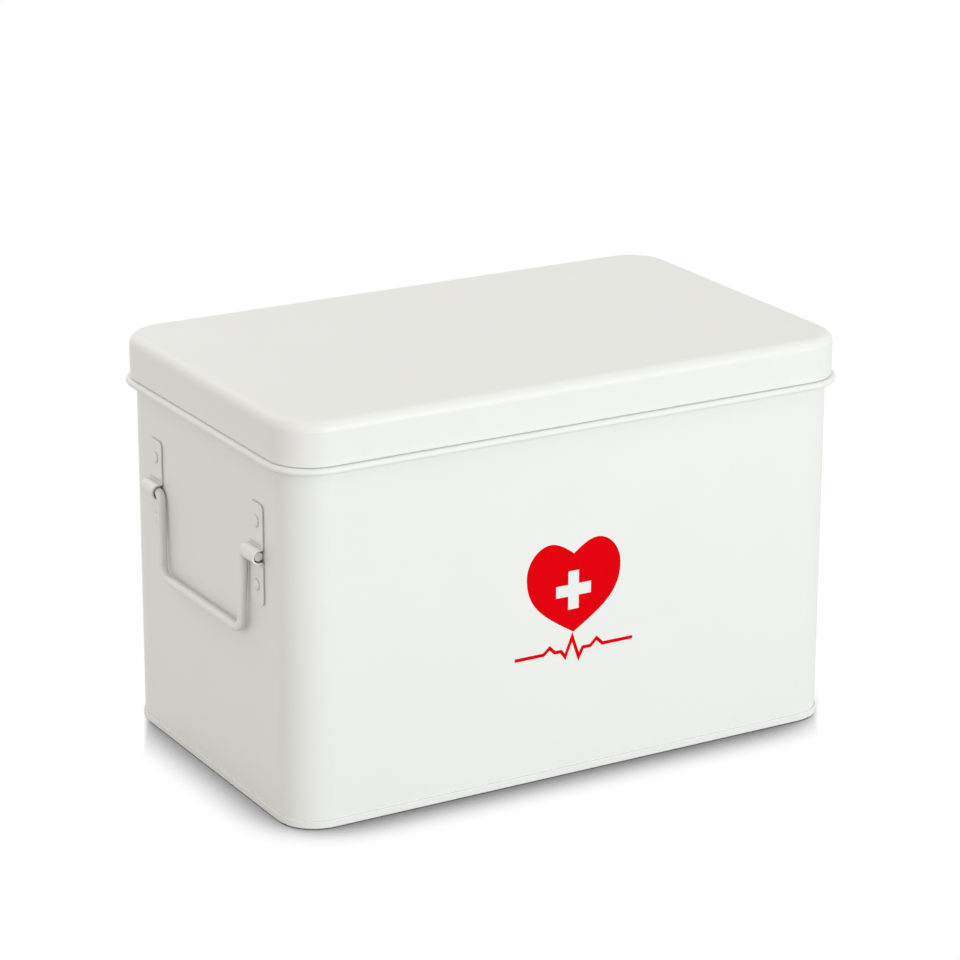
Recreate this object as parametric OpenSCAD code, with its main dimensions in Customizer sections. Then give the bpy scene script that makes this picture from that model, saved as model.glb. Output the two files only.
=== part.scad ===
// Sheet steel medicine box with a lift-off lid, two wire handles and a lift-out tray.
// The origin is the middle of the foot. X runs along the length, -Y is the printed front
// and Z is up. All sizes are in millimetres.

/* [Body] */
// Length over the body wall
body_l = 310; // [270:1:360]
// Depth over the body wall
body_d = 186.5; // [176:0.5:240]
// Outside radius of the upright corners
corner_r = 19.5; // [16:0.5:24]
// Height of the closed box
overall_h = 205.5; // [190:0.5:250]
// Thickness of the body, base, lid and tray sheet
sheet_t = 0.8; // [0.6:0.1:1]
// Film of paint between the wall and what is fixed to it
weld_seat = 0.05; // [0.03:0.01:0.1]

/* [Bead and neck] */
// Height of the rolled bead under the lid
bead_h = 3.3; // [2.8:0.1:4]
// How far the bead stands out of the wall
bead_out = 5.4; // [4.4:0.1:6]
// Inside bend radius where the sheet turns out into the bead
bead_bend_r = 0.8; // [0.5:0.1:1]
// Clearance between the neck's folded edge and the underside of the lid
neck_clear = 6.3; // [5:0.1:8]
// Space left between the two layers of a folded edge
hem_gap = 0.4; // [0.2:0.1:0.6]
// Height of a folded edge
hem_h = 5; // [4:0.5:7]

/* [Foot] */
// Height of the seam that joins the base to the wall
seam_h = 4; // [3.2:0.1:5]
// Radius of the seam's lower edges
seam_r = 0.7; // [0.4:0.1:0.8]
// Width of the lock seam down the inside of the rear wall
lock_w = 7; // [5:0.5:10]
// Width of the groove that the lock seam leaves outside
groove_w = 0.8; // [0.5:0.1:1.2]
// Depth of that groove
groove_deep = 0.3; // [0.2:0.1:0.4]
// Radius of the crease rolled into the wall above the foot seam
crease_r = 0.35; // [0.2:0.05:0.45]

/* [Lid] */
// Height of the lid's skirt with its rounded edge
lid_h = 22.1; // [19:0.1:26]
// Outside radius of the lid's top edge
lid_edge_r = 5; // [3:0.5:7]
// Clearance between the neck and the lid's folded edge
lid_fit = 1.2; // [0.6:0.1:1.4]
// Gap between the lid's edge and the bead
lid_gap = 0.1; // [0.1:0.05:0.5]

/* [Handles] */
// Diameter of the handle wire
wire_d = 4.5; // [3.5:0.1:5]
// Distance from the hinge axis to the middle of the grip
handle_drop = 42.5; // [36:0.5:50]
// Distance between the legs at the hinge axis
handle_span = 92.6; // [80:0.2:98]
// How far each leg leans in on its way down to the grip
leg_lean = 2.6; // [0:0.1:5]
// Bend radius of the wire's centre line at the hinge
hinge_bend_r = 4; // [3.5:0.5:5]
// Bend radius of the wire's centre line at the grip's ends
grip_bend_r = 6.5; // [5:0.5:10]
// Distance of the hinge axis from the wall
wire_off = 2.7; // [2.6:0.1:3.6]
// Angle off the wall at which the handle hangs
hang_angle = 1.5; // [0:0.1:3]
// Clearance between the raised handle and the bead
swing_clear = 3.25; // [1:0.25:5]

/* [Handle brackets] */
// Width of a bracket
bracket_w = 13.5; // [12:0.5:17]
// Height of a bracket
bracket_h = 51; // [44:1:60]
// Thickness of a bracket
strap_t = 0.9; // [0.8:0.1:1.2]
// Corner radius of a bracket
bracket_r = 3; // [1:0.5:5]
// Running clearance round the wire inside the loop
loop_clear = 0.7; // [0.5:0.05:1.4]
// Bend radius where the loop rises from the plate
loop_bend_r = 0.6; // [0.4:0.1:1.6]
// Gap between a leg of the handle and the bracket beside it
bracket_gap = 0.45; // [0.3:0.05:1.5]
// How far the wire's end stays inside the loop
wire_inset = 1; // [0.5:0.5:4]

/* [Tray] */
// Height of the tray
tray_h = 48; // [36:1:60]
// Outside radius of the tray's upright corners
tray_corner_r = 14; // [11:0.5:18]
// Outside radius of the bend round the tray's floor
tray_edge_r = 4; // [3:0.5:6]
// Radius of the rolled edge round the tray's top
rim_r = 1.6; // [1.3:0.1:2]
// Clearance between the tray and the body's innermost edge
tray_fit = 1.5; // [1:0.1:4]
// How far the tray's rim lies below the neck's edge
tray_sink = 4.8; // [1:0.2:8]
// Width of a finger hole
finger_w = 28; // [22:1:34]
// Height of a finger hole
finger_h = 14; // [12:1:16]
// Distance of a finger hole's middle from the rim
finger_drop = 15; // [13:1:18]

/* [Tray dividers] */
// Thickness of a divider
divider_t = 0.8; // [0.6:0.1:1.2]
// How far the dividers stay below the rim
divider_sink = 5; // [3:0.5:10]
// Width of the foot that is bent out of each divider's lower edge
divider_foot = 8; // [5:0.5:12]
// Outside radius of that bend
divider_bend_r = 1.6; // [1.3:0.1:2.5]
// Distance of the long divider behind the tray's middle
long_divider_y = 24; // [20:1:40]
// Gap between a divider and what it fits
divider_fit = 0.3; // [0.2:0.05:0.6]

/* [Tray ledges] */
// Length of a ledge
ledge_l = 120; // [80:5:130]
// How far a ledge reaches in from the wall
ledge_w = 17; // [15:0.5:22]
// Height of a ledge's upright leg
ledge_h = 14; // [10:1:20]
// Thickness of a ledge
ledge_t = 1; // [0.8:0.1:1.5]
// Gap between a ledge and its end wall, filled by the weld and the paint
ledge_seat = 0.2; // [0.1:0.05:0.4]
// Gap under the tray where it rests on the ledges
tray_seat = 0.3; // [0.2:0.05:0.5]

/* [Hidden] */
$fn = 96;

// Folded edges
hem_t = 2 * sheet_t + hem_gap;
hem_r = hem_t / 2;

// Lid, bead and neck
lid_out = lid_fit + hem_t;
lid_z = overall_h - lid_h;
bead_top = lid_z - lid_gap;
bead_z = bead_top - bead_h;
neck_top = overall_h - sheet_t - neck_clear;

// Handles and brackets
loop_in = wire_d / 2 + loop_clear;
loop_out = loop_in + strap_t;
handle_z = bead_z - swing_clear - wire_d / 2 - handle_drop;
bracket_in = handle_span / 2 + wire_d / 2 + bracket_gap;
stub_y = bracket_in + bracket_w - wire_inset;

// Welds of the handle wire: length, how far a straight run stops short of its bend, and
// how much thicker the weld is than the wire
weld_l = 0.4;
weld_gap = 0.05;
weld_more = 0.1;

// Tray and dividers
lock_t = 2 * sheet_t;
rim_out = 2 * rim_r - sheet_t;
tray_in = max(hem_t, sheet_t + lock_t) + tray_fit + rim_out;
tray_l = body_l - 2 * tray_in;
tray_d = body_d - 2 * tray_in;
tray_top = neck_top - tray_sink;
tray_z = tray_top - tray_h;
tray_floor = tray_z + sheet_t;
divider_h = tray_h - sheet_t - divider_sink;
divider_pitch = (tray_l - 2 * sheet_t) / 4;
lap_w = divider_t + 2 * divider_fit;
ledge_z = tray_z - tray_seat;

// Fills the corner at the origin between +x and +y, up to an arc of radius r
module corner_fill(r) {
    difference() {
        square(r);
        translate([r, r]) circle(r);
    }
}

// Quarter of a bent sheet, from +x to +y, with the outer face at radius r
module quarter_bend(r, t = sheet_t) {
    intersection() {
        difference() {
            circle(r);
            circle(r - t);
        }
        square(r);
    }
}

// Folded edge that turns over at the origin towards -x, with the outer face at x = 0
module fold_profile() {
    translate([-hem_r, -hem_r]) {
        quarter_bend(hem_r);
        mirror([1, 0]) quarter_bend(hem_r);
    }
    translate([-hem_t, -hem_h]) square([sheet_t, hem_h - hem_r]);
}

// Carries a profile round a rounded rectangle, x outwards from its line and y up
module carry_round(l, d, r) {
    for (side = [0:3]) {
        across = side % 2 == 0 ? l : d;
        along = side % 2 == 0 ? d : l;
        rotate([0, 0, 90 * side]) {
            translate([across / 2, along / 2 - r, 0])
                rotate([90, 0, 0])
                    linear_extrude(along - 2 * r) children();
            translate([across / 2 - r, along / 2 - r, 0])
                rotate_extrude(angle = 90)
                    translate([r, 0]) children();
        }
    }
}

module rounded_outline(l, d, r) {
    square([l - 2 * r, d], center = true);
    square([l, d - 2 * r], center = true);
    for (x = [-1, 1], y = [-1, 1])
        translate([x * (l / 2 - r), y * (d / 2 - r)]) circle(r);
}

module slot_outline(l, h) {
    square([l - h, h], center = true);
    for (x = [-1, 1])
        translate([x * (l - h) / 2, 0]) circle(d = h);
}

module rounded_plate(l, d, r, t) {
    linear_extrude(t) rounded_outline(l, d, r);
}

// Section of the body wall, from the seam up through the bead to the neck's folded edge
module wall_profile() {
    nose_r = bead_h / 2;
    nose_x = bead_out - nose_r;
    difference() {
        union() {
            translate([-sheet_t, sheet_t]) square([sheet_t, neck_top - hem_r - sheet_t]);
            translate([-sheet_t, bead_z]) square([sheet_t + nose_x, bead_h]);
            translate([nose_x, bead_z + nose_r]) circle(nose_r);
            translate([0, bead_top]) corner_fill(bead_bend_r);
            translate([0, bead_z]) mirror([0, 1]) corner_fill(bead_bend_r);
        }
        translate([-2 * sheet_t, bead_z + sheet_t])
            square([2 * sheet_t + nose_x, bead_h - 2 * sheet_t]);
        translate([nose_x, bead_z + nose_r]) circle(nose_r - sheet_t);
        translate([-sheet_t, bead_top - sheet_t]) corner_fill(bead_bend_r + sheet_t);
        translate([-sheet_t, bead_z + sheet_t])
            mirror([0, 1]) corner_fill(bead_bend_r + sheet_t);
        translate([0, seam_h + crease_r]) circle(crease_r);
    }
    translate([0, neck_top]) fold_profile();
}

// Rolled wall with its bead and neck, closed by a lock seam in the middle of the rear
module body_wall() {
    lock_h = bead_z - bead_bend_r - seam_h;
    color("whitesmoke") difference() {
        union() {
            carry_round(body_l, body_d, corner_r) wall_profile();
            translate([-lock_w / 2, body_d / 2 - sheet_t - lock_t, seam_h])
                cube([lock_w, lock_t + sheet_t / 2, lock_h]);
        }
        translate([lock_w / 2 - groove_w, body_d / 2 - groove_deep, seam_h])
            cube([groove_w, 2 * groove_deep, lock_h]);
    }
}

// Section of the seam: a channel of base sheet that grips the wall's lower edge
module seam_profile() {
    difference() {
        translate([-2 * sheet_t, 0]) square([3 * sheet_t, seam_h]);
        translate([-sheet_t, sheet_t]) square([sheet_t, seam_h]);
        translate([-2 * sheet_t, 0]) corner_fill(seam_r);
        translate([sheet_t, 0]) mirror([1, 0]) corner_fill(seam_r);
        translate([sheet_t, seam_h]) rotate([0, 0, 180]) corner_fill(sheet_t / 2);
    }
}

// Base with a raised panel inside the seam
module base_pan() {
    panel_in = 3 * sheet_t / 2;
    color("whitesmoke") {
        carry_round(body_l, body_d, corner_r) seam_profile();
        translate([0, 0, seam_h - sheet_t])
            rounded_plate(body_l - 2 * panel_in, body_d - 2 * panel_in, corner_r - panel_in, sheet_t);
    }
}

// Section of the lid's skirt, from its folded edge up to the bend into the top
module skirt_profile() {
    translate([lid_out - sheet_t, lid_z + hem_r])
        square([sheet_t, lid_h - hem_r - lid_edge_r]);
    translate([lid_out - lid_edge_r, overall_h - lid_edge_r]) quarter_bend(lid_edge_r);
    translate([lid_out, lid_z]) mirror([0, 1]) fold_profile();
}

module lid() {
    panel_out = lid_out - lid_edge_r;
    color("whitesmoke") {
        carry_round(body_l, body_d, corner_r) skirt_profile();
        translate([0, 0, overall_h - sheet_t])
            rounded_plate(body_l + 2 * panel_out, body_d + 2 * panel_out, corner_r + panel_out, sheet_t);
    }
}

// Section of a bracket, x off the wall and y up from the hinge axis
module strap_profile() {
    difference() {
        union() {
            translate([0, -bracket_h / 2]) square([strap_t, bracket_h]);
            translate([0, -loop_out]) square([wire_off, 2 * loop_out]);
            translate([wire_off, 0]) circle(loop_out);
            translate([strap_t, loop_out]) corner_fill(loop_bend_r);
            translate([strap_t, -loop_out]) mirror([0, 1]) corner_fill(loop_bend_r);
        }
        translate([-strap_t, -loop_in]) square([strap_t + wire_off, 2 * loop_in]);
        translate([wire_off, 0]) circle(loop_in);
        translate([0, loop_in]) corner_fill(loop_bend_r + strap_t);
        translate([0, -loop_in]) mirror([0, 1]) corner_fill(loop_bend_r + strap_t);
    }
}

// Strap bracket for the +X wall: side is -1 for the left end, end is -1 for the front
module bracket(side, end) {
    color("whitesmoke")
        mirror([side < 0 ? 1 : 0, 0, 0])
            translate([body_l / 2 + weld_seat, end * (bracket_in + bracket_w / 2), handle_z])
                intersection() {
                    translate([0, bracket_w / 2, 0])
                        rotate([90, 0, 0])
                            linear_extrude(bracket_w) strap_profile();
                    rotate([90, 0, 90])
                        linear_extrude(wire_off + loop_out)
                            rounded_outline(bracket_w, bracket_h, bracket_r);
                }
}

// Straight round wire along x
module wire_run(x, l, d) {
    translate([x, 0, 0]) rotate([0, 90, 0]) cylinder(h = l, d = d);
}

// Round wire along a flat path, with a bend of its own radius at each inner point.
// A weld a hair thicker than the wire joins each straight run to its bend.
module bent_wire(path, radii) {
    last = len(path) - 1;
    steps = [for (i = [0:last - 1]) path[i + 1] - path[i]];
    headings = [for (s = steps) atan2(s[1], s[0])];
    turns = [for (i = [1:last - 1]) (headings[i] - headings[i - 1] + 540) % 360 - 180];
    setbacks = [for (i = [1:last - 1]) radii[i - 1] * tan(abs(turns[i - 1]) / 2)];
    ends = [0, for (s = setbacks) s + weld_gap, 0];
    for (i = [0:last - 1])
        translate([path[i][0], path[i][1], 0])
            rotate([0, 0, headings[i]])
                wire_run(ends[i], norm(steps[i]) - ends[i] - ends[i + 1], wire_d);
    for (i = [1:last - 1]) {
        r = radii[i - 1];
        turn = turns[i - 1];
        back = setbacks[i - 1];
        translate([path[i][0], path[i][1], 0]) {
            rotate([0, 0, headings[i - 1]]) {
                translate([-back, sign(turn) * r, 0])
                    rotate([0, 0, turn > 0 ? -90 : turn + 90])
                        rotate_extrude(angle = abs(turn))
                            translate([r, 0]) circle(d = wire_d);
                wire_run(-back - weld_l / 2, weld_l, wire_d + weld_more);
            }
            rotate([0, 0, headings[i]]) wire_run(back - weld_l / 2, weld_l, wire_d + weld_more);
        }
    }
}

// Wire handle that hangs from its two brackets
module handle(side) {
    leg_y = handle_span / 2;
    grip_y = leg_y - leg_lean;
    path = [
        [-stub_y, 0], [-leg_y, 0], [-grip_y, -handle_drop],
        [grip_y, -handle_drop], [leg_y, 0], [stub_y, 0]
    ];
    color("whitesmoke")
        translate([side * (body_l / 2 + weld_seat + wire_off), 0, handle_z])
            rotate([0, -side * hang_angle, 0])
                rotate([90, 0, 90])
                    bent_wire(path, [hinge_bend_r, grip_bend_r, grip_bend_r, hinge_bend_r]);
}

// Section of the tray's wall, from the floor's bend to the rolled edge
module tray_profile() {
    translate([-tray_edge_r, tray_z + tray_edge_r]) mirror([0, 1]) quarter_bend(tray_edge_r);
    translate([-sheet_t, tray_z + tray_edge_r])
        square([sheet_t, tray_h - tray_edge_r - rim_r]);
    translate([rim_r - sheet_t, tray_top - rim_r])
        difference() {
            circle(rim_r);
            circle(rim_r - sheet_t);
            translate([-rim_r, -rim_r]) square([rim_r, rim_r]);
        }
}

module tray_pan() {
    color("whitesmoke") difference() {
        union() {
            carry_round(tray_l, tray_d, tray_corner_r) tray_profile();
            translate([0, 0, tray_z])
                rounded_plate(tray_l - 2 * tray_edge_r, tray_d - 2 * tray_edge_r,
                              tray_corner_r - tray_edge_r, sheet_t);
        }
        translate([-tray_l / 2 - rim_out, 0, tray_top - finger_drop])
            rotate([90, 0, 90])
                linear_extrude(tray_l + 2 * rim_out)
                    slot_outline(finger_w, finger_h);
    }
}

// Outline of a divider, x along it and y up, whose lower corners follow the tray's floor bend
module divider_outline(l) {
    translate([-l / 2, tray_edge_r]) square([l, divider_h - tray_edge_r]);
    translate([tray_edge_r - l / 2, 0]) square([l - 2 * tray_edge_r, divider_h]);
    for (x = [-1, 1])
        translate([x * (l / 2 - tray_edge_r), tray_edge_r]) circle(tray_edge_r);
}

// Section of a divider: an upright sheet whose foot is bent towards +x
module divider_profile() {
    translate([0, divider_bend_r]) square([divider_t, divider_h - divider_bend_r]);
    translate([divider_bend_r, 0]) square([divider_foot - divider_bend_r, divider_t]);
    translate([divider_bend_r, divider_bend_r])
        rotate([0, 0, 180]) quarter_bend(divider_bend_r, divider_t);
}

// Divider along y, with its sheet centred on x = 0 and standing on z = 0
module divider_sheet(l) {
    intersection() {
        translate([-divider_t / 2, l / 2, 0])
            rotate([90, 0, 0])
                linear_extrude(l) divider_profile();
        translate([-divider_t, 0, 0])
            rotate([90, 0, 90])
                linear_extrude(divider_foot + divider_t) divider_outline(l);
    }
}

// Half-lap slot across a divider at y, from height z up
module lap_slot(y, z) {
    translate([-divider_foot, y - lap_w / 2, z])
        cube([2 * divider_foot, lap_w, divider_h / 2 + divider_fit]);
}

module long_divider() {
    color("gainsboro")
        translate([0, long_divider_y, tray_floor])
            rotate([0, 0, 90])
                difference() {
                    divider_sheet(tray_l - 2 * sheet_t - 2 * divider_fit);
                    for (i = [-1:1]) lap_slot(i * divider_pitch, divider_h / 2);
                }
}

// Divider across the tray, relieved where the foot of the long one passes under it
module cross_divider(i) {
    color("gainsboro")
        translate([i * divider_pitch, 0, tray_floor])
            difference() {
                divider_sheet(tray_d - 2 * sheet_t - 2 * divider_fit);
                lap_slot(long_divider_y, -divider_fit);
                translate([-divider_foot, long_divider_y - lap_w / 2, -divider_fit])
                    cube([2 * divider_foot, lap_w + divider_foot, divider_bend_r + 2 * divider_fit]);
            }
}

// Angle strip inside an end wall that carries the tray
module tray_ledge(side) {
    color("whitesmoke")
        mirror([side > 0 ? 1 : 0, 0, 0])
            translate([sheet_t + ledge_seat - body_l / 2, ledge_l / 2, ledge_z])
                rotate([90, 0, 0])
                    linear_extrude(ledge_l) {
                        translate([0, -ledge_h]) square([ledge_t, ledge_h]);
                        translate([0, -ledge_t]) square([ledge_w, ledge_t]);
                        translate([ledge_t, -ledge_t]) mirror([0, 1]) corner_fill(ledge_t);
                    }
}

body_wall();
base_pan();
tray_ledge(-1);  // left_tray_ledge
tray_ledge(1);  // right_tray_ledge
bracket(-1, -1);  // left_front_bracket
bracket(-1, 1);  // left_rear_bracket
bracket(1, -1);  // right_front_bracket
bracket(1, 1);  // right_rear_bracket
handle(-1);  // left_handle
handle(1);  // right_handle
lid();
tray_pan();
long_divider();
cross_divider(-1);  // left_divider
cross_divider(0);  // middle_divider
cross_divider(1);  // right_divider
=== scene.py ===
import math

import bmesh
import bpy
from mathutils import Matrix, Vector


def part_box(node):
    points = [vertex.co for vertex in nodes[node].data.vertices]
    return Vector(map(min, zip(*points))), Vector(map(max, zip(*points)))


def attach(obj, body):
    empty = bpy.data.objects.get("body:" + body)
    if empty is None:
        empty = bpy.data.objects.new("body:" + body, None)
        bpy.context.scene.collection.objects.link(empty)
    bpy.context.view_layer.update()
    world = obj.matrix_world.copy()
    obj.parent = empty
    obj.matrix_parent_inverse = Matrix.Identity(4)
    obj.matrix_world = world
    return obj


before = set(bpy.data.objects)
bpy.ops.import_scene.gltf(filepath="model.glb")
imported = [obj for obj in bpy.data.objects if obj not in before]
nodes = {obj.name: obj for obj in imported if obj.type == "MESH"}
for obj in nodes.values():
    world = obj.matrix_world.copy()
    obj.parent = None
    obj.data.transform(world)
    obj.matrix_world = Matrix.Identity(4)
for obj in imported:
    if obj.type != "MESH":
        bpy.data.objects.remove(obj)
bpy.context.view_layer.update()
mm = 0.001


# Body wall and base: one steel sheet rolled round four large corners and closed by a lock
# seam behind, with the base seamed on below. Both are powder coated white after seaming,
# which leaves a satin film with a fine orange peel over slightly wavy sheet.
def node_adder(owner):
    """Empties the node tree of a new material or world, and returns a function that adds a
    node to it, sets the node's inputs and gives it back."""
    owner.use_nodes = True
    tree = owner.node_tree
    tree.nodes.clear()

    def add(kind, inputs=None, **settings):
        node = tree.nodes.new(kind)
        for key, value in settings.items():
            setattr(node, key, value)
        for key, value in (inputs or {}).items():
            if isinstance(value, bpy.types.NodeSocket):
                tree.links.new(value, node.inputs[key])
            else:
                node.inputs[key].default_value = value
        return node

    return add


thin_shade = 0.97
gloss_spread = 0.05
open_view = 0.96
# Near black that the painted shade darkens the coat towards.
painted_shade_colour = (0.05, 0.05, 0.045)


def coated_steel(
    name, colour, roughness=0.44, peel=1.0, wave=1.0, painted_shade_share=0.0, reach=3 * mm, crowded=0.3,
):
    """Powder coat: a clean colour that thins a little in patches, over peel and wavy sheet.
    With a painted shade share over 0, the colour is darkened towards near black by up to that
    share as painted shade where surfaces within reach close in round a spot: not at all where
    its view is open, and in full where the open share of its view is down to crowded."""
    material = bpy.data.materials.new(name)
    add = node_adder(material)
    place = add("ShaderNodeTexCoord").outputs["Object"]
    patches = add("ShaderNodeTexNoise", {"Vector": place, "Scale": 22, "Detail": 3})
    thin = [channel * thin_shade for channel in colour]
    cover = add("ShaderNodeMix", {
        "Factor": patches.outputs["Fac"],
        "A": (*colour, 1),
        "B": (*thin, 1),
    }, data_type="RGBA")
    # Painted shade: the colour darkens where other surfaces within reach close in round a spot.
    if painted_shade_share:
        room = add("ShaderNodeAmbientOcclusion", {"Distance": reach}, samples=8)
        painted_shade_fade = add("ShaderNodeMapRange", {
            "Value": room.outputs["AO"],
            "From Min": crowded,
            "From Max": open_view,
            "To Min": painted_shade_share,
            "To Max": 0.0,
        })
        cover = add("ShaderNodeMix", {
            "Factor": painted_shade_fade.outputs["Result"],
            "A": cover.outputs["Result"],
            "B": (*painted_shade_colour, 1),
        }, data_type="RGBA")
    speckle = add("ShaderNodeTexNoise", {"Vector": place, "Scale": 420, "Detail": 2})
    gloss = add("ShaderNodeMapRange", {
        "Value": speckle.outputs["Fac"],
        "To Min": roughness - gloss_spread,
        "To Max": roughness + gloss_spread,
    })
    sheet = add("ShaderNodeTexNoise", {"Vector": place, "Scale": 11, "Detail": 1})
    wavy = add("ShaderNodeBump", {
        "Height": sheet.outputs["Fac"],
        "Strength": 0.35 * wave,
        "Distance": 0.4 * mm,
    })
    grain = add("ShaderNodeTexNoise", {"Vector": place, "Scale": 900, "Detail": 2})
    film = add("ShaderNodeBump", {
        "Height": grain.outputs["Fac"],
        "Strength": 0.25 * peel,
        "Distance": 0.03 * mm,
        "Normal": wavy.outputs["Normal"],
    })
    shader = add("ShaderNodeBsdfPrincipled", {
        "Base Color": cover.outputs["Result"],
        "Roughness": gloss.outputs["Result"],
        "Normal": film.outputs["Normal"],
        "IOR": 1.5,
    })
    add("ShaderNodeOutputMaterial", {"Surface": shader.outputs["BSDF"]})
    return material


def coat_nodes(material, *names):
    """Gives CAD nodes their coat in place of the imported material."""
    for name in names:
        slots = nodes[name].data.materials
        slots.clear()
        slots.append(material)


wall_coat = coated_steel("white_wall_coat", (0.86, 0.88, 0.86))
# The base's coat has painted shade in its tight creases, where other surfaces close in.
base_coat = coated_steel("white_base_coat", (0.86, 0.88, 0.86), painted_shade_share=0.4, reach=1.2 * mm)
coat_nodes(wall_coat, "body_wall")
coat_nodes(base_coat, "base_pan")

# Lid: a drawn sheet with a 5 mm edge round its top and a folded lower edge, coated as a
# loose part, so its film is a little smoother and its top panel a little tighter.
lid_coat = coated_steel("white_lid_coat", (0.86, 0.87, 0.86), peel=0.8, wave=0.6)
coat_nodes(lid_coat, "lid")

# Brackets and handles: stamped straps riveted to the ends, and 4.5 mm wire bent to a grip.
# All are coated with the box, and their colour is darkened as painted shade in the loops, along
# the straps and on the wire near the wall.
bracket_places = ("left_front", "left_rear", "right_front", "right_rear")
bracket_coat = coated_steel("white_bracket_coat", (0.86, 0.87, 0.855), wave=0.2, painted_shade_share=0.75)
wire_coat = coated_steel(
    "white_wire_coat", (0.86, 0.87, 0.86), wave=0, painted_shade_share=0.2, reach=16 * mm, crowded=0.8,
)
coat_nodes(bracket_coat, *[f"{place}_bracket" for place in bracket_places])
coat_nodes(wire_coat, "left_handle", "right_handle")

# Rivets: two to a bracket, above and below its loop. Each is one solid with a low round
# head outside and a tail set flat inside the wall, coated with the rest.
strap_thickness = 0.9 * mm
rivet_rise = 16 * mm
rivet_steps = 40
rivet_crease = math.radians(50)
merge_reach = 0.001 * mm
rivet_side = [
    (0.9, 0), (0.88, 1.2), (0.78, 1.9), (0.55, 2.5), (0.2, 2.8), (0, 2.8), (0, 1.5),
    (-1.75, 1.5), (-1.75, 2.2), (-2.2, 2.1), (-2.4, 1.7), (-2.45, 0),
]


def add_object(name, data):
    """Puts a mesh, a curve, a lamp or a camera into the scene."""
    added = bpy.data.objects.new(name, data)
    bpy.context.scene.collection.objects.link(added)
    return added


def rivet(name, bracket, rise):
    """Spins the half section, given as (height over the strap, radius) in millimetres, round
    X and sets it through the strap and the wall."""
    low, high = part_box(bracket)
    out = -1 if low.x < 0 else 1
    face = (high.x if out < 0 else low.x) + out * strap_thickness
    middle = (low + high) / 2
    form = bmesh.new()
    points = [form.verts.new((out * height * mm, radius * mm, 0)) for height, radius in rivet_side]
    edges = [form.edges.new(pair) for pair in zip(points, points[1:])]
    bmesh.ops.spin(
        form, geom=points + edges, axis=(1, 0, 0), cent=(0, 0, 0),
        angle=math.tau, steps=rivet_steps, use_merge=True,
    )
    bmesh.ops.remove_doubles(form, verts=form.verts, dist=merge_reach)
    bmesh.ops.translate(form, verts=form.verts, vec=(face, middle.y, middle.z + rise))
    bmesh.ops.recalc_face_normals(form, faces=form.faces)
    for facet in form.faces:
        facet.smooth = True
    mesh = bpy.data.meshes.new(name)
    form.to_mesh(mesh)
    form.free()
    mesh.set_sharp_from_angle(angle=rivet_crease)
    mesh.materials.append(bracket_coat)
    piece = add_object(name, mesh)
    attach(piece, "box")


for place in bracket_places:
    rivet(f"{place}_upper_rivet", f"{place}_bracket", rivet_rise)
    rivet(f"{place}_lower_rivet", f"{place}_bracket", -rivet_rise)

# Tray, dividers and ledges: folded sheet inside the box. The tray lifts out, the dividers
# stand in it on bent feet, and the ledges are welded to the end walls.
tray_coat = coated_steel("white_tray_coat", (0.84, 0.85, 0.84), roughness=0.4)
divider_coat = coated_steel("white_divider_coat", (0.82, 0.83, 0.82), roughness=0.42, wave=0.5)
coat_nodes(tray_coat, "tray_pan", "left_tray_ledge", "right_tray_ledge")
coat_nodes(divider_coat, "long_divider", "left_divider", "middle_divider", "right_divider")

# Front print: red ink screened on the coat, a heart with a cross left open in it, and a
# pulse line below. The film stands a few hundredths of a millimetre proud of the wall. Its
# outlines are in millimetres, across from the print's middle and up from the ground.
bead_out = 5.4 * mm
ink_lift = 0.01 * mm
ink_film = 0.04 * mm
ink_x = -1.5 * mm
ink_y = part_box("body_wall")[0].y + bead_out - ink_lift


def screen_ink():
    """Flat red ink with a faint mottle from the screen."""
    material = bpy.data.materials.new("red_screen_ink")
    add = node_adder(material)
    place = add("ShaderNodeTexCoord").outputs["Object"]
    mottle = add("ShaderNodeTexNoise", {"Vector": place, "Scale": 260, "Detail": 3})
    ink = add("ShaderNodeMix", {
        "Factor": mottle.outputs["Fac"],
        "A": (0.80, 0.0, 0.0035, 1),
        "B": (0.74, 0.0, 0.0035, 1),
    }, data_type="RGBA")
    weave = add("ShaderNodeTexNoise", {"Vector": place, "Scale": 1500, "Detail": 1})
    film = add("ShaderNodeBump", {
        "Height": weave.outputs["Fac"],
        "Strength": 0.2,
        "Distance": 0.02 * mm,
    })
    shader = add("ShaderNodeBsdfPrincipled", {
        "Base Color": ink.outputs["Result"],
        "Roughness": 0.6,
        "Specular IOR Level": 0.02,
        "Normal": film.outputs["Normal"],
    })
    add("ShaderNodeOutputMaterial", {"Surface": shader.outputs["BSDF"]})
    return material


red_ink = screen_ink()


def add_spline(curve, points):
    """Adds a closed Bezier spline; each point is (handle before, point, handle after)."""
    spline = curve.splines.new("BEZIER")
    spline.bezier_points.add(len(points) - 1)
    for target, (before, at, after) in zip(spline.bezier_points, points):
        target.co = (*at, 0)
        target.handle_left = (*before, 0)
        target.handle_right = (*after, 0)
    spline.use_cyclic_u = True


def screen_print(name, outlines):
    """Fills flat outlines, gives them the ink's thickness and stands them on the wall."""
    curve = bpy.data.curves.new(name, "CURVE")
    curve.dimensions = "2D"
    curve.fill_mode = "BOTH"
    curve.resolution_u = 24
    curve.extrude = ink_film / 2 / mm
    for outline in outlines:
        add_spline(curve, outline)
    drawn = add_object(name, curve)
    bpy.context.view_layer.update()
    drawn_now = drawn.evaluated_get(bpy.context.evaluated_depsgraph_get())
    mesh = bpy.data.meshes.new_from_object(drawn_now)
    bpy.data.objects.remove(drawn)
    upright = Matrix.Rotation(math.radians(90), 4, "X")
    on_wall = Matrix.Translation((ink_x, ink_y - ink_film / 2, 0))
    mesh.transform(on_wall @ upright @ Matrix.Scale(mm, 4))
    mesh.materials.clear()
    mesh.materials.append(red_ink)
    piece = add_object(name, mesh)
    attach(piece, "box")


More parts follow.
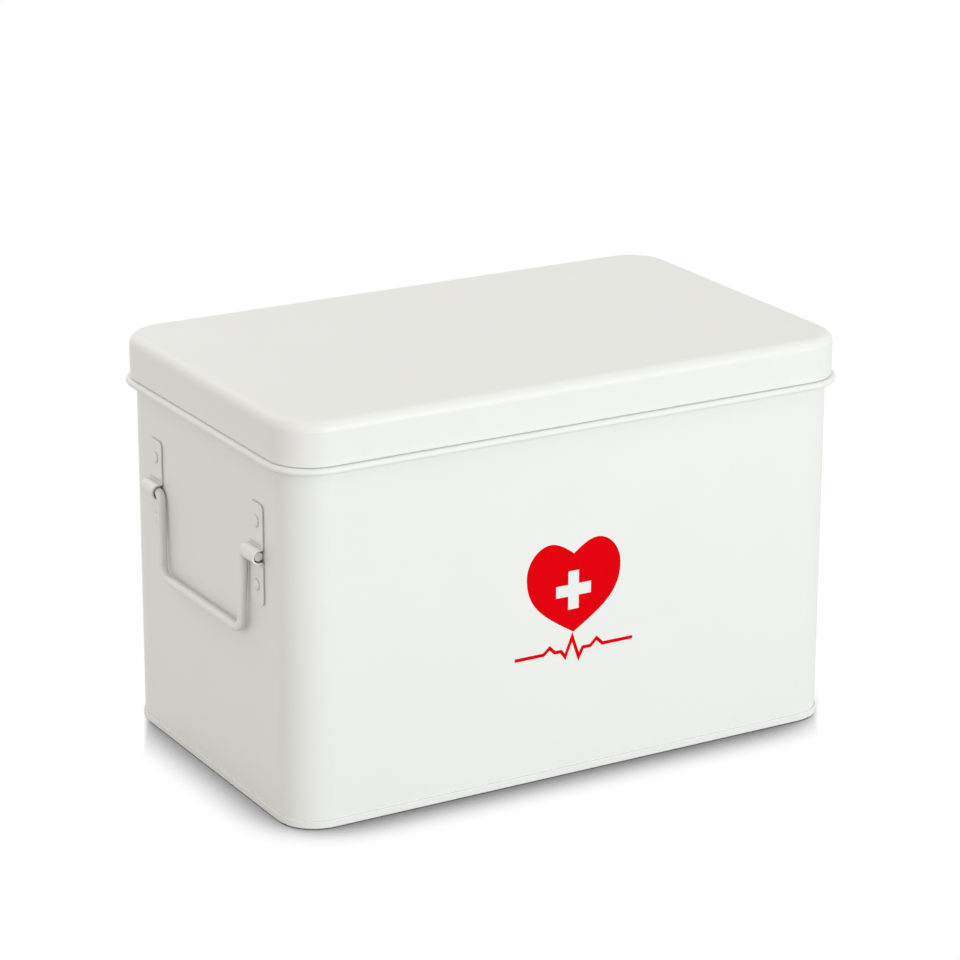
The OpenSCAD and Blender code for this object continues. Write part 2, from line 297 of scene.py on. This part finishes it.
def heart_outline():
    """Right half from the notch to the tip, and the same mirrored on the way back."""
    half = [
        ((-3.2, 118.6), (0, 116.2), (3.2, 118.6)),
        ((8.5, 122.7), (13.3, 122.7), (20.4, 122.7)),
        ((26.9, 115.4), (26.9, 107), (26.9, 92)),
        ((17, 85.5), (0, 75.2), (-17, 85.5)),
    ]
    other = [
        tuple((-x, z) for x, z in (after, at, before))
        for before, at, after in reversed(half[1:3])
    ]
    return half + other


def cross_outline(x, z, reach, arm):
    """A cross of four equal arms round (x, z), with straight sides."""
    corners = [
        (reach, arm), (arm, arm), (arm, reach), (-arm, reach), (-arm, arm), (-reach, arm),
        (-reach, -arm), (-arm, -arm), (-arm, -reach), (arm, -reach), (arm, -arm), (reach, -arm),
    ]
    return [((x + a, z + b),) * 3 for a, b in corners]


screen_print("heart_print", [
    heart_outline(),
    cross_outline(x=-0.1, z=97.2, reach=10, arm=3.05),
])

pulse_level = 66
pulse_half_width = 0.9
mitre_limit = 0.3
pulse_line = [
    (-33.5, 0), (-17, 0), (-13.5, 3), (-10.5, 0), (-7, 0), (-4.6, -3.2), (-0.6, 6.6),
    (3.2, -4.6), (5.6, 0), (10, 0), (13.5, 3.4), (17, 0), (34.5, 0),
]


def pulse_outline():
    """Both sides of the pulse line, with each corner mitred."""
    points = [Vector((x, pulse_level + rise)) for x, rise in pulse_line]
    upper, lower = [], []
    for i, point in enumerate(points):
        before = point - points[i - 1] if i else points[1] - point
        after = points[i + 1] - point if i < len(points) - 1 else before
        along = before.normalized()
        middle = (along + after.normalized()).normalized()
        stretch = pulse_half_width / max(middle.dot(along), mitre_limit)
        out = Vector((-middle.y, middle.x)) * stretch
        upper.append(point + out)
        lower.append(point - out)
    return [((p.x, p.y),) * 3 for p in upper + lower[::-1]]


screen_print("pulse_print", [pulse_outline()])

# Floor: a pale flat ground that shows white in the picture, with a dark line and soft shade
# painted round the box's foot. The painted shade lies in a band, seen from the front left,
# that ends at the foot's two outer corners. The floor isn't part of the box.
floor_size = 3
floor_drop = 0.05 * mm
floor_grey = (0.55, 0.55, 0.55)
shade_reach = 38 * mm
shade_full_view = 0.21
shade_gone_view = 0.84
band_across = (0.861, -0.509, 0)
band_taper = (-0.05, -0.085, 0)
band_half = 170 * mm
band_end = 176.2 * mm

floor_mesh = bpy.data.meshes.new("floor")
floor_form = bmesh.new()
bmesh.ops.create_grid(floor_form, x_segments=1, y_segments=1, size=floor_size)
bmesh.ops.translate(floor_form, verts=floor_form.verts, vec=(0, 0, -floor_drop))
floor_form.to_mesh(floor_mesh)
floor_form.free()
floor = add_object("floor", floor_mesh)


def seen_directly(add):
    """1 for a ray from the camera or a reflection, and 0 for one that carries light on."""
    ray = add("ShaderNodeLightPath")
    direct = add("ShaderNodeMath", {
        0: ray.outputs["Is Camera Ray"],
        1: ray.outputs["Is Glossy Ray"],
    }, operation="MAXIMUM")
    return direct.outputs["Value"]


def white_floor():
    """Pale matt floor; the camera and reflections see it white, with painted shade near what
    stands on it where that is inside the band."""
    material = bpy.data.materials.new("white_floor")
    add = node_adder(material)
    lean = add("ShaderNodeCombineXYZ", {"X": 0.218, "Y": 0.3, "Z": 0.928})
    # Painted shadow: the white is dimmed where the box stands close over the floor.
    near = add("ShaderNodeAmbientOcclusion", {
        "Distance": shade_reach,
        "Normal": lean.outputs["Vector"],
    }, samples=16)
    fade = add("ShaderNodeMapRange", {
        "Value": near.outputs["AO"],
        "From Min": shade_full_view,
        "From Max": shade_gone_view,
    }, interpolation_type="SMOOTHSTEP")
    place = add("ShaderNodeTexCoord").outputs["Object"]
    across = add("ShaderNodeVectorMath", {0: place, 1: band_across}, operation="DOT_PRODUCT")
    aside = add("ShaderNodeMath", {0: across.outputs["Value"]}, operation="ABSOLUTE")
    taper = add("ShaderNodeVectorMath", {0: place, 1: band_taper}, operation="DOT_PRODUCT")
    out = add("ShaderNodeMath", {
        0: aside.outputs["Value"],
        1: taper.outputs["Value"],
    }, operation="ADD")
    beyond = add("ShaderNodeMapRange", {
        "Value": out.outputs["Value"],
        "From Min": band_half,
        "From Max": band_end,
    }, interpolation_type="SMOOTHSTEP")
    open_floor = add("ShaderNodeMath", {
        0: fade.outputs["Result"],
        1: beyond.outputs["Result"],
    }, operation="MAXIMUM")
    seen = add("ShaderNodeEmission", {"Strength": open_floor.outputs["Value"]})
    lit = add("ShaderNodeBsdfDiffuse", {"Color": (*floor_grey, 1)})
    both = add("ShaderNodeMixShader", {
        0: seen_directly(add),
        1: lit.outputs["BSDF"],
        2: seen.outputs["Emission"],
    })
    add("ShaderNodeOutputMaterial", {"Surface": both.outputs["Shader"]})
    return material


floor.data.materials.append(white_floor())

# Light: an even pale room, a soft lamp low in front on the right, a weaker one high behind
# and a trace from the left. Each lamp looks at the middle of the box.
room_colour = (0.765, 0.745, 0.705)
white = (1, 1, 1)
lamp_distance = 2.2
lamp_aim = Vector((0, 0, 0.1))


def room_light():
    """White behind the box for the camera and for reflections, and dimmer as light."""
    world = bpy.data.worlds.new("room")
    add = node_adder(world)
    shown = add("ShaderNodeMix", {
        "Factor": seen_directly(add),
        "A": (*room_colour, 1),
        "B": (*white, 1),
    }, data_type="RGBA")
    glow = add("ShaderNodeBackground", {"Color": shown.outputs["Result"]})
    add("ShaderNodeOutputWorld", {"Surface": glow.outputs["Background"]})
    return world


bpy.context.scene.world = room_light()


def direction(azimuth, elevation):
    """Points away from the box, turned from its front to the right and up, in degrees."""
    turn, tilt = math.radians(azimuth), math.radians(elevation)
    return Vector((
        math.sin(turn) * math.cos(tilt), -math.cos(turn) * math.cos(tilt), math.sin(tilt),
    ))


def soft_lamp(name, azimuth, elevation, size, power, colour):
    """A square lamp that looks at the box from one direction."""
    lamp = bpy.data.lights.new(name, "AREA")
    lamp.shape = "SQUARE"
    lamp.size = size
    lamp.energy = power
    lamp.color = colour
    stand = add_object(name, lamp)
    away = direction(azimuth, elevation)
    stand.location = lamp_aim + away * lamp_distance
    stand.rotation_mode = "QUATERNION"
    stand.rotation_quaternion = away.to_track_quat("Z", "Y")


soft_lamp(
    "front_lamp", azimuth=13, elevation=8, size=1.0, power=20.5, colour=(0.93, 0.985, 1),
)
soft_lamp(
    "rear_lamp", azimuth=-175, elevation=35, size=1.6, power=6.7, colour=(0.92, 0.98, 1),
)
soft_lamp(
    "left_lamp", azimuth=-85, elevation=15, size=1.0, power=2.9, colour=(1, 0.77, 0.77),
)

# Camera: it stands where the photograph was taken. Its direction, distance and lens were
# fitted to the photograph's edges, with the centre of the view left free, in pixels.
camera_azimuth = -30.62
camera_elevation = 18.06
camera_roll = math.radians(0.33)
camera_distance = 1.8442
aim_right = 16.2 * mm
aim_height = 140.8 * mm
picture_width = 960
focal_pixels = 3627.2
centre_x = 512.9
centre_y = 453.2
middle_pixel = (picture_width - 1) / 2

backward = direction(camera_azimuth, camera_elevation)
level_right = direction(camera_azimuth + 90, 0)
level_up = backward.cross(level_right)
rolled_right = level_right * math.cos(camera_roll) + level_up * math.sin(camera_roll)
rolled_up = level_up * math.cos(camera_roll) - level_right * math.sin(camera_roll)
turned = Matrix((rolled_right, rolled_up, backward)).transposed()
aim = level_right * aim_right + Vector((0, 0, aim_height))

lens = bpy.data.cameras.new("camera")
lens.sensor_width = 36
lens.lens = focal_pixels / picture_width * lens.sensor_width
lens.shift_x = (middle_pixel - centre_x) / picture_width
lens.shift_y = (centre_y - middle_pixel) / picture_width
lens.clip_start = 0.1
lens.clip_end = 20
camera = add_object("camera", lens)
camera.rotation_mode = "QUATERNION"
camera.rotation_quaternion = turned.to_quaternion()
camera.location = aim + backward * camera_distance
bpy.context.scene.camera = camera
bpy.context.scene.view_settings.view_transform = "Standard"
